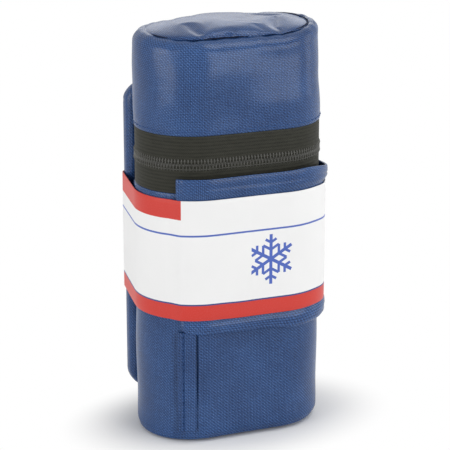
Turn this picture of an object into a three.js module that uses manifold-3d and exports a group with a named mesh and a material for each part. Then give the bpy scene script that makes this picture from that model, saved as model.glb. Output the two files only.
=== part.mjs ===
// Insulated insulin cooling case: a zipped cloth case with foam walls, a hinged lid, a front pocket,
// a flat syringe pocket on the back, a paper sleeve, and inside it a cold pack under a foam vial tray.
// Millimetres, +Z up. The origin is the middle of the base and the front faces -Y.
import * as THREE from 'three';
import { mergeVertices } from 'three/addons/utils/BufferGeometryUtils.js';
import Module from 'manifold-3d';

const wasm = await Module();
wasm.setup();

// Vials and the tray that they stand in
const VIAL_WELL = 25.6;       // bore of a well
const WELL_WEB = 6.4;         // foam between the two wells
const TRAY_WALL = 2.7;        // foam between a well and the tray's outside
const TRAY_FLOOR = 6;         // foam under a well
const TRAY_SETBACK = 4;       // tray's top below the zipper line
const SLIP = 0.6;             // loose fit of the tray and the cold pack in the lining

// Wall layers, from the outside in, and the gap between neighbouring pieces
const COVER = 1;
const FOAM = 6.5;
const LINING = 0.8;
const GAP = 0.3;

// Heights of the case
const ZIP_HEIGHT = 124;       // zipper line above the base
const LID_HEIGHT = 55;        // lid above the zipper line
const EDGE_RADIUS = 5;        // rounded edge round the base and the lid
const TOP_SEAM_DROP = 3.5;    // lid's crown above its top seam
const TOP_PUFF = 3.2;         // width of the puffed margin inside the top seam
const CROWN_DROP = 0.6;       // puffed margin below the crown

// Zipper
const TAPE_WIDTH = 12;        // one tape, from the zipper line to the cover's edge
const TAPE = 0.8;             // thickness of the tape
const TAPE_SPLIT = 0.3;       // each tape's edge to the zipper line
const COIL_DEPTH = 1.2;       // thickness of the coil, out from the tape
const COIL_BEAD = 1.6;        // height of the bead that carries the teeth
const BEAD_SPLIT = 1;         // bead to the zipper line
const TOOTH_REACH = 0.7;      // tooth past the zipper line
const TOOTH_PITCH = 2.8;
const TOOTH_WIDTH = 1.05;
const TOOTH_TAPER = 0.15;     // narrowing of a tooth at each side of its tip
const CHAIN_TURN = 136;       // degrees round each end from the front to the last tooth
const STOP_LENGTH = 2;
const TAPE_END = 10;          // degrees of bare tape past the last tooth

// Slider and pull, parked behind the right end
const SLIDER_PARK = 33;       // degrees behind the right end's middle
const SLIDER_LENGTH = 11;
const SLIDER_HEAD = 6.4;      // height at the shoulders
const SLIDER_TAIL = 5;
const SLIDER_PLATE = 1;
const SLIDER_LIFT = 0.5;      // plate off the coil
const BAIL_LENGTH = 6.8;
const BAIL_WIRE = 0.9;
const PULL_BORE = 0.75;       // radius of the bore round the bail
const PULL_KNUCKLE = 1.25;    // radius of the knuckle
const PULL_WIDTH = 4.6;
const PULL_LENGTH = 12;       // tip below the bail
const PULL_THICKNESS = 1.2;
const PULL_HOLE = 0.9;        // radius of the eye at the tip

// Front pocket, with its hems standing proud above and below the sleeve
const POCKET_LEFT = 32;       // degrees round the left end from the front
const POCKET_RIGHT = 130;     // degrees round the right end from the front
const POCKET_DROP = 4.7;      // mouth below the zipper line
const TOP_HEM = 9.5;          // pocket above the sleeve
const LOW_HEM = 6;            // pocket below the sleeve
const POCKET_CLOTH = 1.2;
const HEM_CLOTH = 2.7;
const HEM_ROUND = 1;
const HEM_SLOPE = 1.5;
const SEAM_STRIP_WIDTH = 7.4;
const SEAM_STRIP_CLOTH = 0.7;
const SEAM_STRIP_LEAD = 2;    // strip's left edge past the pocket's

// Paper sleeve
const SLEEVE_HEIGHT = 52.8;
const SLEEVE_PAPER = 0.5;

// Syringe pocket on the back, with a soft fold where the lid turns
const REAR_WIDTH = 73;
const REAR_DEPTH = 8.3;
const REAR_BOTTOM = 8.5;      // above the base
const REAR_RISE = 26;         // mouth above the zipper line
const REAR_CORNER = 9.5;      // corners seen from behind
const REAR_EDGE = 3;          // corners seen from above
const REAR_CLOTH = 1.2;
const FOLD_BELOW = 12;        // soft fold below and above the zipper line
const FOLD_ABOVE = 10;

// Cold pack
const PACK_HEIGHT = 65;
const PACK_WALL = 1.4;
const PACK_ROUND = 4;
const PLUG_STEM = 4.2;        // radius
const PLUG_HEAD = 6;          // radius
const PLUG_HEAD_HEIGHT = 1.4;
const PLUG_STEM_HEIGHT = 4;
const PLUG_FIT = 0.2;

// Fineness of round stretches
const END_STEPS = 16;
const CORNER_STEPS = 4;
const BORE_STEPS = 28;

// Derived sizes
const WALL = COVER + GAP + FOAM + GAP + LINING;
const CASE_DEPTH = VIAL_WELL + 2 * (TRAY_WALL + SLIP + WALL);
const END_RADIUS = CASE_DEPTH / 2;
const END_CENTRE = (VIAL_WELL + WELL_WEB) / 2;
const END_ARC = Math.PI * END_RADIUS;
const PERIMETER = 2 * END_ARC + 4 * END_CENTRE;
const CASE_TOP = ZIP_HEIGHT + LID_HEIGHT;
const TOP_SEAM = CASE_TOP - TOP_SEAM_DROP;
const CORE = -0.8 * END_RADIUS;   // small outline where a lofted face is capped
const FOAM_OUTSIDE = -COVER - GAP;
const LINING_OUTSIDE = FOAM_OUTSIDE - FOAM - GAP;
const INSIDE = -WALL - SLIP;      // outside of what stands in the lining

const CLOTH = { color: 0x3b559d, roughness: 0.75, metalness: 0 };
const TAPE_CLOTH = { color: 0x25272b, roughness: 0.85, metalness: 0 };
const COIL_NYLON = { color: 0x1d1e21, roughness: 0.5, metalness: 0 };
const PAPER = { color: 0xf3f2ee, roughness: 0.6, metalness: 0 };
const WHITE_FOAM = { color: 0xe9e7e1, roughness: 0.9, metalness: 0 };
const SILVER_LINING = { color: 0xc9cdd2, roughness: 0.4, metalness: 0.2 };
const PACK_PLASTIC = { color: 0xdde7ef, roughness: 0.4, metalness: 0 };
const GEL = { color: 0x76acd4, roughness: 0.3, metalness: 0 };
const ZINC = { color: 0x3a3b3e, roughness: 0.35, metalness: 0.9 };

const radians = THREE.MathUtils.degToRad;
const v2 = (x, y) => new THREE.Vector2(x, y);

function mesh(name, geometry, finish) {
  const result = new THREE.Mesh(geometry, new THREE.MeshStandardMaterial(finish));
  result.name = name;
  return result;
}

// Turns a list of triangle corners into one indexed skin whose faces point out.
function closedSkin(corners) {
  const raw = new THREE.BufferGeometry().setFromPoints(corners);
  const skin = mergeVertices(raw, 1e-4);
  const index = skin.index.array;
  const position = skin.attributes.position;
  const [a, b, c] = [new THREE.Vector3(), new THREE.Vector3(), new THREE.Vector3()];
  let volume = 0;
  for (let i = 0; i < index.length; i += 3) {
    a.fromBufferAttribute(position, index[i]);
    b.fromBufferAttribute(position, index[i + 1]);
    c.fromBufferAttribute(position, index[i + 2]);
    volume += a.dot(b.cross(c));
  }
  if (volume < 0) index.reverse();
  return skin;
}

// Joins rings of equal point count. With a cap outline both ends are closed, without one the rings close up.
function skinRings(rings, cap) {
  const corners = [];
  const count = rings[0].length;
  const spans = cap ? rings.length - 1 : rings.length;
  for (let k = 0; k < spans; k += 1) {
    const [near, far] = [rings[k], rings[(k + 1) % rings.length]];
    for (let j = 0; j < count; j += 1) {
      const next = (j + 1) % count;
      corners.push(near[j], near[next], far[next], near[j], far[next], far[j]);
    }
  }
  if (cap) {
    const last = rings[rings.length - 1];
    for (const [i, j, k] of THREE.ShapeUtils.triangulateShape(cap, [])) {
      corners.push(rings[0][k], rings[0][j], rings[0][i], last[i], last[j], last[k]);
    }
  }
  return closedSkin(corners);
}

// Lofts flat outlines, each at its own height. An open loft is capped at its first and last outline.
function loft(levels, isRing = false) {
  const rings = levels.map(([outline, z]) => outline.map((p) => new THREE.Vector3(p.x, p.y, z)));
  return skinRings(rings, isRing ? null : levels[0][0]);
}

// Case outline, counter-clockwise, at an offset out from the cover's outside.
function stadium(offset) {
  const radius = END_RADIUS + offset;
  const points = [];
  for (const side of [1, -1]) {
    for (let i = 0; i <= END_STEPS; i += 1) {
      const angle = Math.PI * (i / END_STEPS - 0.5);
      points.push(v2(side * (END_CENTRE + radius * Math.cos(angle)), side * radius * Math.sin(angle)));
    }
  }
  return points;
}

// Lofts the case outline along pairs of offset and height.
function caseLoft(profile, isRing = false) {
  return loft(profile.map(([offset, z]) => [stadium(offset), z]), isRing);
}

function caseRing(outside, inside, low, high) {
  return caseLoft([[outside, low], [outside, high], [inside, high], [inside, low]], true);
}

// Quarter round from one pair of offset and height to another, about the given centre.
function quarter([centreOffset, centreZ], radius, startAngle, endAngle) {
  const points = [];
  for (let i = 0; i <= CORNER_STEPS; i += 1) {
    const angle = radians(THREE.MathUtils.lerp(startAngle, endAngle, i / CORNER_STEPS));
    points.push([centreOffset + radius * Math.cos(angle), centreZ + radius * Math.sin(angle)]);
  }
  return points;
}

// Distance along the outline from the front middle to an angle round the right end.
const alongRight = (degrees) => END_CENTRE + radians(degrees) * END_RADIUS;

// Point of the outline at a distance from the front middle, to the right if positive.
function onOutline(distance, offset) {
  const radius = END_RADIUS + offset;
  let rest = THREE.MathUtils.euclideanModulo(distance + END_CENTRE, PERIMETER);
  for (const side of [1, -1]) {
    if (rest <= 2 * END_CENTRE) return v2(side * (rest - END_CENTRE), -side * radius);
    rest -= 2 * END_CENTRE;
    if (rest <= END_ARC) {
      const angle = rest / END_RADIUS;
      return v2(side * (END_CENTRE + radius * Math.sin(angle)), -side * radius * Math.cos(angle));
    }
    rest -= END_ARC;
  }
  return v2(-END_CENTRE, -radius);
}

// Places along the outline where a strip takes a step: its ends and the facets of the round ends.
function stations(from, to) {
  const places = [from, to];
  for (const lap of [-PERIMETER, 0]) {
    for (const arcStart of [END_CENTRE, 3 * END_CENTRE + END_ARC]) {
      for (let i = 0; i <= END_STEPS; i += 1) {
        const place = lap + arcStart + (END_ARC * i) / END_STEPS;
        if (place > from + GAP && place < to - GAP) places.push(place);
      }
    }
  }
  return places.sort((a, b) => a - b);
}

// Bends a profile of offset and height along the outline between two places on it.
function strip(profile, from, to) {
  const section = profile.map(([offset, z]) => v2(offset, z));
  if (THREE.ShapeUtils.isClockWise(section)) section.reverse();
  const rings = stations(from, to).map((place) => section.map((p) => {
    const point = onOutline(place, p.x);
    return new THREE.Vector3(point.x, point.y, p.y);
  }));
  return skinRings(rings, section);
}

const band = (inside, outside, low, high) => [[inside, low], [outside, low], [outside, high], [inside, high]];

// Solids for joining and cutting
function toSolid(geometry) {
  const bare = geometry.clone();
  bare.deleteAttribute('normal');
  bare.deleteAttribute('uv');
  const merged = mergeVertices(bare, 1e-4);
  const vertProperties = new Float32Array(merged.attributes.position.array);
  const triVerts = new Uint32Array(merged.index.array);
  return new wasm.Manifold(new wasm.Mesh({ numProp: 3, vertProperties, triVerts }));
}

function toGeometry(solid) {
  const { vertProperties, triVerts } = solid.getMesh();
  const geometry = new THREE.BufferGeometry();
  geometry.setAttribute('position', new THREE.BufferAttribute(vertProperties, 3));
  geometry.setIndex(new THREE.BufferAttribute(triVerts, 1));
  return geometry;
}

function uprightCylinder(radius, low, high, x = 0) {
  const cylinder = new THREE.CylinderGeometry(radius, radius, high - low, BORE_STEPS);
  cylinder.rotateX(Math.PI / 2);
  return toSolid(cylinder.translate(x, 0, (low + high) / 2));
}

// Extrudes a shape and lays its axes along the given directions.
function extrude(shape, depth, ...axes) {
  const solid = new THREE.ExtrudeGeometry(shape, { depth, bevelEnabled: false, curveSegments: CORNER_STEPS });
  return solid.applyMatrix4(new THREE.Matrix4().makeBasis(...axes));
}

// Body: cover, base, foam walls and lining
const FLOOR_FOAM = COVER + 2 * GAP;
const FLOOR_LINING = FLOOR_FOAM + FOAM + GAP;
const INNER_FLOOR = FLOOR_LINING + LINING;
const BODY_RIM = ZIP_HEIGHT - TAPE_SPLIT;
const COVER_TOP = ZIP_HEIGHT - TAPE_WIDTH - GAP;
const CORNER_INSIDE = EDGE_RADIUS - COVER;
const FOAM_CORNER = CORNER_INSIDE - GAP;

function bodyCover() {
  const corner = [-EDGE_RADIUS, EDGE_RADIUS + GAP];
  return caseLoft([
    ...quarter(corner, EDGE_RADIUS, -90, 0), [0, COVER_TOP], [-COVER, COVER_TOP],
    ...quarter(corner, CORNER_INSIDE, 0, -90),
  ], true);
}

function basePanel() {
  const edge = -EDGE_RADIUS - GAP;
  return caseLoft([[edge, 0], [edge, COVER + GAP]]);
}

function baseInsulation() {
  const corner = [-EDGE_RADIUS, EDGE_RADIUS + GAP];
  return caseLoft([...quarter(corner, FOAM_CORNER, -90, 0), [FOAM_OUTSIDE, FLOOR_FOAM + FOAM]]);
}

function bodyInsulation() {
  return caseRing(FOAM_OUTSIDE, FOAM_OUTSIDE - FOAM, FLOOR_LINING, BODY_RIM);
}

function bodyLining() {
  return caseLoft([
    [CORE, FLOOR_LINING], [LINING_OUTSIDE, FLOOR_LINING], [LINING_OUTSIDE, BODY_RIM],
    [LINING_OUTSIDE - LINING, BODY_RIM], [LINING_OUTSIDE - LINING, INNER_FLOOR], [CORE, INNER_FLOOR],
  ]);
}

// Lid: cover, puffed top panel, foam and lining
const LID_RIM = ZIP_HEIGHT + TAPE_SPLIT;
const LID_COVER_LOW = ZIP_HEIGHT + TAPE_WIDTH + GAP;
const LID_CORNER = [-EDGE_RADIUS, TOP_SEAM - EDGE_RADIUS];
const LID_FOAM_TOP = TOP_SEAM - EDGE_RADIUS - GAP;

function lidCover() {
  return caseLoft([
    [0, LID_COVER_LOW], ...quarter(LID_CORNER, EDGE_RADIUS, 0, 90),
    ...quarter(LID_CORNER, CORNER_INSIDE, 90, 0), [-COVER, LID_COVER_LOW],
  ], true);
}

function lidTopPanel() {
  const edge = -EDGE_RADIUS - GAP;
  const margin = edge - TOP_PUFF;
  const underside = TOP_SEAM - COVER;
  return caseLoft([
    [CORE, CASE_TOP - COVER], [margin, CASE_TOP - CROWN_DROP - COVER], [edge, underside],
    [edge, TOP_SEAM], [edge - TOP_PUFF / 4, TOP_SEAM + TOP_SEAM_DROP / 2],
    [margin, CASE_TOP - CROWN_DROP], [CORE, CASE_TOP],
  ]);
}

function lidInsulation() {
  return caseRing(FOAM_OUTSIDE, FOAM_OUTSIDE - FOAM, LID_RIM, LID_FOAM_TOP);
}

function lidTopInsulation() {
  return caseLoft([[FOAM_OUTSIDE, LID_FOAM_TOP + GAP], ...quarter(LID_CORNER, FOAM_CORNER, 0, 90)]);
}

function lidLining() {
  const ceiling = LID_FOAM_TOP - LINING;
  return caseLoft([
    [CORE, ceiling], [LINING_OUTSIDE - LINING, ceiling], [LINING_OUTSIDE - LINING, LID_RIM],
    [LINING_OUTSIDE, LID_RIM], [LINING_OUTSIDE, LID_FOAM_TOP], [CORE, LID_FOAM_TOP],
  ]);
}

// Zipper: tapes, toothed coils, end stops and the cloth hinge that closes the loop at the back
const TAPE_OUTSIDE = TAPE - COVER;
const TAPE_REACH = alongRight(CHAIN_TURN + TAPE_END);
const CHAIN_REACH = alongRight(CHAIN_TURN);
const COIL_INSIDE = TAPE_OUTSIDE + GAP;
const COIL_OUTSIDE = COIL_INSIDE + COIL_DEPTH;

function zipperTape(side) {
  const profile = band(-COVER, TAPE_OUTSIDE, ZIP_HEIGHT + side * TAPE_SPLIT, ZIP_HEIGHT + side * TAPE_WIDTH);
  return strip(profile, -TAPE_REACH, TAPE_REACH);
}

// One row of teeth on its bead. The rows of the two tapes stand half a pitch apart, so that they mesh.
function zipperCoil(side) {
  const corners = [];
  const root = -side * BEAD_SPLIT;
  const back = root - side * COIL_BEAD;
  const tip = side * TOOTH_REACH;
  const at = (place, offset, rise) => {
    const point = onOutline(place, offset);
    return new THREE.Vector3(point.x, point.y, ZIP_HEIGHT + rise);
  };
  const quad = (a, b, c, d) => corners.push(a, b, c, a, c, d);
  // Front, back and far edge of a block between two pairs of places, at the heights low and high.
  const block = (low, [l0, l1], high, [h0, h1]) => {
    const [inLow0, inLow1] = [at(l0, COIL_INSIDE, low), at(l1, COIL_INSIDE, low)];
    const [outLow0, outLow1] = [at(l0, COIL_OUTSIDE, low), at(l1, COIL_OUTSIDE, low)];
    const [inHigh0, inHigh1] = [at(h0, COIL_INSIDE, high), at(h1, COIL_INSIDE, high)];
    const [outHigh0, outHigh1] = [at(h0, COIL_OUTSIDE, high), at(h1, COIL_OUTSIDE, high)];
    quad(outLow0, outLow1, outHigh1, outHigh0);
    quad(inLow1, inLow0, inHigh0, inHigh1);
    return {
      bottom: () => quad(inLow0, inLow1, outLow1, outLow0),
      top: () => quad(outHigh0, outHigh1, inHigh1, inHigh0),
      start: () => quad(inLow0, outLow0, outHigh0, inHigh0),
      end: () => quad(outLow1, inLow1, inHigh1, outHigh1),
    };
  };
  const count = Math.floor((2 * CHAIN_REACH) / TOOTH_PITCH);
  const first = (-count * TOOTH_PITCH) / 2 + (side > 0 ? 0 : TOOTH_PITCH / 2);
  for (let i = 0; i < count; i += 1) {
    const start = first + i * TOOTH_PITCH;
    const flank = start + TOOTH_WIDTH;
    const base = block(back, [start, flank], root, [start, flank]);
    const tooth = block(root, [start, flank], tip, [start + TOOTH_TAPER, flank - TOOTH_TAPER]);
    base.bottom();
    tooth.top();
    tooth.start();
    tooth.end();
    const isLast = i === count - 1;
    if (i === 0) base.start();
    if (isLast) base.end();
    if (isLast) continue;
    const valley = [flank, start + TOOTH_PITCH];
    const space = block(back, valley, root, valley);
    space.bottom();
    space.top();
  }
  return closedSkin(corners);
}

function zipperStop(side) {
  const low = ZIP_HEIGHT - BEAD_SPLIT - COIL_BEAD;
  const near = CHAIN_REACH + TOOTH_PITCH;
  const [from, to] = side > 0 ? [near, near + STOP_LENGTH] : [-near - STOP_LENGTH, -near];
  return strip(band(COIL_INSIDE, COIL_OUTSIDE, low, ZIP_HEIGHT - TAPE_SPLIT), from, to);
}

function hingeStrip() {
  const low = ZIP_HEIGHT - TAPE_WIDTH;
  const from = TAPE_REACH + GAP;
  return strip(band(-COVER, TAPE_OUTSIDE, low, ZIP_HEIGHT + TAPE_WIDTH), from, PERIMETER - from);
}

// Slider and pull, drawn about the right end's centre: X out, Y back along the chain, Z up
const [X, Y, Z] = [new THREE.Vector3(1, 0, 0), new THREE.Vector3(0, 1, 0), new THREE.Vector3(0, 0, 1)];
const PLATE_INSIDE = END_RADIUS + COIL_OUTSIDE + SLIDER_LIFT;
const PLATE_OUTSIDE = PLATE_INSIDE + SLIDER_PLATE;
const BAIL_AXIS = PLATE_OUTSIDE + GAP + PULL_KNUCKLE;

function zipperSlider() {
  const half = SLIDER_LENGTH / 2;
  const [head, tail] = [SLIDER_HEAD / 2, SLIDER_TAIL / 2];
  const plate = new THREE.Shape();
  plate.moveTo(-half, -tail / 2);
  plate.quadraticCurveTo(-half, -tail, -half + tail, -tail);
  plate.bezierCurveTo(0, -tail, 0, -head, half - head, -head);
  plate.quadraticCurveTo(half, -head, half, 0);
  plate.quadraticCurveTo(half, head, half - head, head);
  plate.bezierCurveTo(0, head, 0, tail, -half + tail, tail);
  plate.quadraticCurveTo(-half, tail, -half, tail / 2);
  const plateSolid = extrude(plate, SLIDER_PLATE, Y, Z, X).translate(PLATE_INSIDE, 0, 0);
  const [foot, top] = [PLATE_INSIDE + SLIDER_PLATE / 2, BAIL_AXIS + BAIL_WIRE / 2];
  const [outer, inner] = [BAIL_LENGTH / 2, BAIL_LENGTH / 2 - BAIL_WIRE];
  const arch = new THREE.Shape([
    v2(-outer, foot), v2(-inner, foot), v2(-inner, top - BAIL_WIRE), v2(inner, top - BAIL_WIRE),
    v2(inner, foot), v2(outer, foot), v2(outer, top - BAIL_WIRE / 2), v2(outer - BAIL_WIRE / 2, top),
    v2(BAIL_WIRE / 2 - outer, top), v2(-outer, top - BAIL_WIRE / 2),
  ]);
  const bail = extrude(arch, BAIL_WIRE, Y.clone().negate(), X, Z).translate(0, 0, -BAIL_WIRE / 2);
  return toGeometry(toSolid(plateSolid).add(toSolid(bail)));
}

function zipperPull() {
  const width = BAIL_LENGTH - 2 * (BAIL_WIRE + GAP);
  const barrel = (radius, length) => {
    const cylinder = new THREE.CylinderGeometry(radius, radius, length, BORE_STEPS / 2);
    return toSolid(cylinder.translate(BAIL_AXIS, 0, 0));
  };
  const [neck, half] = [width / 2, PULL_WIDTH / 2];
  const shoulder = PULL_KNUCKLE + half;
  const tab = new THREE.Shape();
  tab.moveTo(-neck, -PULL_BORE);
  tab.lineTo(-neck, -PULL_KNUCKLE);
  tab.quadraticCurveTo(-half, -PULL_KNUCKLE, -half, -shoulder);
  tab.lineTo(-half, half - PULL_LENGTH);
  tab.absarc(0, half - PULL_LENGTH, half, Math.PI, 2 * Math.PI, false);
  tab.lineTo(half, -shoulder);
  tab.quadraticCurveTo(half, -PULL_KNUCKLE, neck, -PULL_KNUCKLE);
  tab.lineTo(neck, -PULL_BORE);
  const eye = new THREE.Path();
  eye.absarc(0, half - PULL_LENGTH, PULL_HOLE, 0, 2 * Math.PI, true);
  tab.holes.push(eye);
  const leaf = extrude(tab, PULL_THICKNESS, Y, Z, X).translate(BAIL_AXIS - PULL_THICKNESS / 2, 0, 0);
  const body = barrel(PULL_KNUCKLE, width).add(toSolid(leaf));
  return toGeometry(body.subtract(barrel(PULL_BORE, 2 * width)));
}

// Front pocket, the seam strip under it and the sleeve over it
const POCKET_TOP = ZIP_HEIGHT - POCKET_DROP;
const SLEEVE_TOP = POCKET_TOP - TOP_HEM;
const SLEEVE_LOW = SLEEVE_TOP - SLEEVE_HEIGHT;
const POCKET_LOW = SLEEVE_LOW - LOW_HEM;
const POCKET_START = -alongRight(POCKET_LEFT);
const POCKET_OUTSIDE = GAP + POCKET_CLOTH;

function frontPocket() {
  const proud = GAP + HEM_CLOTH;
  const [lowHem, highHem] = [SLEEVE_LOW - GAP, SLEEVE_TOP + GAP];
  return strip([
    [GAP, POCKET_LOW], [proud - HEM_ROUND, POCKET_LOW], [proud, POCKET_LOW + HEM_ROUND],
    [proud, lowHem - HEM_SLOPE], [POCKET_OUTSIDE, lowHem],
    [POCKET_OUTSIDE, highHem], [proud, highHem + HEM_SLOPE],
    [proud, POCKET_TOP - HEM_ROUND], [proud - HEM_ROUND, POCKET_TOP], [GAP, POCKET_TOP],
  ], POCKET_START, alongRight(POCKET_RIGHT));
}

function frontSeamStrip() {
  const from = POCKET_START - SEAM_STRIP_LEAD;
  const profile = band(GAP, GAP + SEAM_STRIP_CLOTH, EDGE_RADIUS + 2 * GAP, POCKET_LOW - GAP);
  return strip(profile, from, from + SEAM_STRIP_WIDTH);
}

// Flat syringe pocket: a rounded slab outline seen from above
const REAR_FRONT = END_RADIUS + GAP;
const REAR_BACK = REAR_FRONT + REAR_DEPTH;
const REAR_HALF = REAR_WIDTH / 2;
const REAR_MOUTH = ZIP_HEIGHT + REAR_RISE;

function slab(halfWidth, inset) {
  const radius = REAR_EDGE - inset;
  const [x, front, back] = [halfWidth - radius, REAR_FRONT + REAR_EDGE, REAR_BACK - REAR_EDGE];
  const points = [];
  [[x, front], [x, back], [-x, back], [-x, front]].forEach(([cx, cy], corner) => {
    for (let i = 0; i <= CORNER_STEPS; i += 1) {
      const angle = (Math.PI / 2) * (corner - 1 + i / CORNER_STEPS);
      points.push(v2(cx + radius * Math.cos(angle), cy + radius * Math.sin(angle)));
    }
  });
  return points;
}

const slabLevels = (pairs, inset) => pairs.map(([halfWidth, z]) => [slab(halfWidth, inset), z]);

function rearPocketBody() {
  const corner = [REAR_HALF - REAR_CORNER, REAR_BOTTOM + REAR_CORNER];
  const top = ZIP_HEIGHT - FOLD_BELOW;
  const inside = REAR_HALF - REAR_CLOTH;
  return loft([
    ...slabLevels([...quarter(corner, REAR_CORNER, -90, 0), [REAR_HALF, top]], 0),
    ...slabLevels([[inside, top], ...quarter(corner, REAR_CORNER - REAR_CLOTH, 0, -90)], REAR_CLOTH),
  ]);
}

function rearPocketFold() {
  const [low, high] = [ZIP_HEIGHT - FOLD_BELOW + GAP, ZIP_HEIGHT + FOLD_ABOVE];
  const inside = REAR_HALF - REAR_CLOTH;
  return loft([
    ...slabLevels([[REAR_HALF, low], [REAR_HALF, high]], 0),
    ...slabLevels([[inside, high], [inside, low]], REAR_CLOTH),
  ], true);
}

function rearPocketTop() {
  const low = ZIP_HEIGHT + FOLD_ABOVE + GAP;
  const corner = [REAR_HALF - REAR_CORNER, REAR_MOUTH - REAR_CORNER];
  const lip = REAR_HALF - REAR_CORNER - REAR_CLOTH;
  const insideCorner = quarter(corner, REAR_CORNER - REAR_CLOTH, 90, 0);
  return loft([
    ...slabLevels([[REAR_HALF, low], ...quarter(corner, REAR_CORNER, 0, 90)], 0),
    ...slabLevels([
      [lip, REAR_MOUTH], [lip, REAR_MOUTH - REAR_CLOTH], ...insideCorner, [REAR_HALF - REAR_CLOTH, low],
    ], REAR_CLOTH),
  ], true);
}

// Sleeve outline: round the front pocket and the left end, then straight across to the back pocket's corners
function sleeveOutline(offset) {
  const corner = v2(REAR_HALF - REAR_EDGE, REAR_BACK - REAR_EDGE);
  const cornerRadius = REAR_EDGE + GAP + offset;
  const endRadius = (cloth) => END_RADIUS + cloth + GAP + offset;
  // Angle of the straight stretch's outward normal, where it leaves the round end for the corner
  const leave = (radius) => {
    const way = corner.clone().sub(v2(END_CENTRE, 0));
    return way.angle() - Math.acos((radius - cornerRadius) / way.length());
  };
  const arc = (centre, radius, from, to, steps) => {
    const points = [];
    for (let i = 0; i <= steps; i += 1) {
      const angle = THREE.MathUtils.lerp(from, to, i / steps);
      points.push(v2(centre.x + radius * Math.cos(angle), centre.y + radius * Math.sin(angle)));
    }
    return points;
  };
  const mirror = (points) => points.map((p) => v2(-p.x, p.y)).reverse();
  const [rightEnd, down] = [v2(END_CENTRE, 0), -Math.PI / 2];
  const [right, left] = [endRadius(POCKET_OUTSIDE), endRadius(0)];
  const [rightLeave, leftLeave] = [leave(right), leave(left)];
  const pocketEdge = down + radians(POCKET_LEFT) + GAP / END_RADIUS;
  const drop = radians(POCKET_LEFT / 2);
  return [
    ...mirror(arc(rightEnd, right, down, pocketEdge, CORNER_STEPS)),
    ...arc(rightEnd, right, down, rightLeave, END_STEPS / 2),
    ...arc(corner, cornerRadius, rightLeave, Math.PI / 2, CORNER_STEPS),
    ...mirror(arc(corner, cornerRadius, leftLeave, Math.PI / 2, CORNER_STEPS)),
    ...mirror(arc(rightEnd, left, pocketEdge + drop, leftLeave, CORNER_STEPS)),
  ];
}

function labelSleeve() {
  const shape = new THREE.Shape(sleeveOutline(SLEEVE_PAPER));
  shape.holes.push(new THREE.Path(sleeveOutline(0)));
  return extrude(shape, SLEEVE_HEIGHT, X, Y, Z).translate(0, 0, SLEEVE_LOW);
}

// Cold pack with its gel and plug, and the vial tray that stands on it
const PACK_LOW = INNER_FLOOR + GAP;
const PACK_TOP = PACK_LOW + PACK_HEIGHT;
const TRAY_LOW = PACK_TOP + GAP;
const TRAY_TOP = ZIP_HEIGHT - TRAY_SETBACK;
const WELL_FLOOR = TRAY_LOW + TRAY_FLOOR;

function roundedPack(inset) {
  const radius = PACK_ROUND - inset;
  const corner = INSIDE - PACK_ROUND;
  return caseLoft([
    ...quarter([corner, PACK_LOW + PACK_ROUND], radius, -90, 0),
    ...quarter([corner, PACK_TOP - PACK_ROUND], radius, 0, 90),
  ]);
}

function coldPackShell() {
  const filler = uprightCylinder(PLUG_STEM + PLUG_FIT, PACK_TOP - PACK_ROUND, PACK_TOP + PACK_WALL);
  return toGeometry(toSolid(roundedPack(0)).subtract(toSolid(roundedPack(PACK_WALL))).subtract(filler));
}

function coldPackGel() {
  const inset = PACK_WALL + GAP;
  const headroom = uprightCylinder(PLUG_HEAD, PACK_TOP - PLUG_STEM_HEIGHT - GAP, PACK_TOP);
  return toGeometry(toSolid(roundedPack(inset)).subtract(headroom));
}

function coldPackPlug() {
  const [seat, stemLow] = [PACK_TOP + GAP, PACK_TOP - PLUG_STEM_HEIGHT];
  const profile = [
    v2(0, stemLow), v2(PLUG_STEM, stemLow), v2(PLUG_STEM, seat),
    v2(PLUG_HEAD, seat), v2(PLUG_HEAD, seat + PLUG_HEAD_HEIGHT), v2(0, seat + PLUG_HEAD_HEIGHT),
  ];
  return new THREE.LatheGeometry(profile, BORE_STEPS).rotateX(Math.PI / 2);
}

function vialTray() {
  const block = toSolid(caseLoft([[INSIDE, TRAY_LOW], [INSIDE, TRAY_TOP]]));
  const well = (side) => uprightCylinder(VIAL_WELL / 2, WELL_FLOOR, TRAY_TOP + GAP, side * END_CENTRE);
  const headTop = PACK_TOP + GAP + PLUG_HEAD_HEIGHT;
  const plugRoom = uprightCylinder(PLUG_HEAD + GAP, PACK_TOP, headTop + GAP);
  return toGeometry(block.subtract(well(-1)).subtract(well(1)).subtract(plugRoom));
}

const body = new THREE.Group();
body.add(
  mesh('body_cover', bodyCover(), CLOTH),
  mesh('base_panel', basePanel(), CLOTH),
  mesh('base_insulation', baseInsulation(), WHITE_FOAM),
  mesh('body_insulation', bodyInsulation(), WHITE_FOAM),
  mesh('body_lining', bodyLining(), SILVER_LINING),
  mesh('zipper_tape_lower', zipperTape(-1), TAPE_CLOTH),
  mesh('zipper_coil_lower', zipperCoil(1), COIL_NYLON),
  mesh('zipper_stop_left', zipperStop(-1), ZINC),
  mesh('zipper_stop_right', zipperStop(1), ZINC),
  mesh('hinge_strip', hingeStrip(), CLOTH),
  mesh('front_pocket', frontPocket(), CLOTH),
  mesh('front_seam_strip', frontSeamStrip(), CLOTH),
  mesh('rear_pocket_body', rearPocketBody(), CLOTH),
  mesh('rear_pocket_fold', rearPocketFold(), CLOTH),
  mesh('label_sleeve', labelSleeve(), PAPER),
  mesh('cold_pack_shell', coldPackShell(), PACK_PLASTIC),
  mesh('cold_pack_gel', coldPackGel(), GEL),
  mesh('cold_pack_plug', coldPackPlug(), PACK_PLASTIC),
  mesh('vial_tray', vialTray(), WHITE_FOAM),
);

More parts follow.
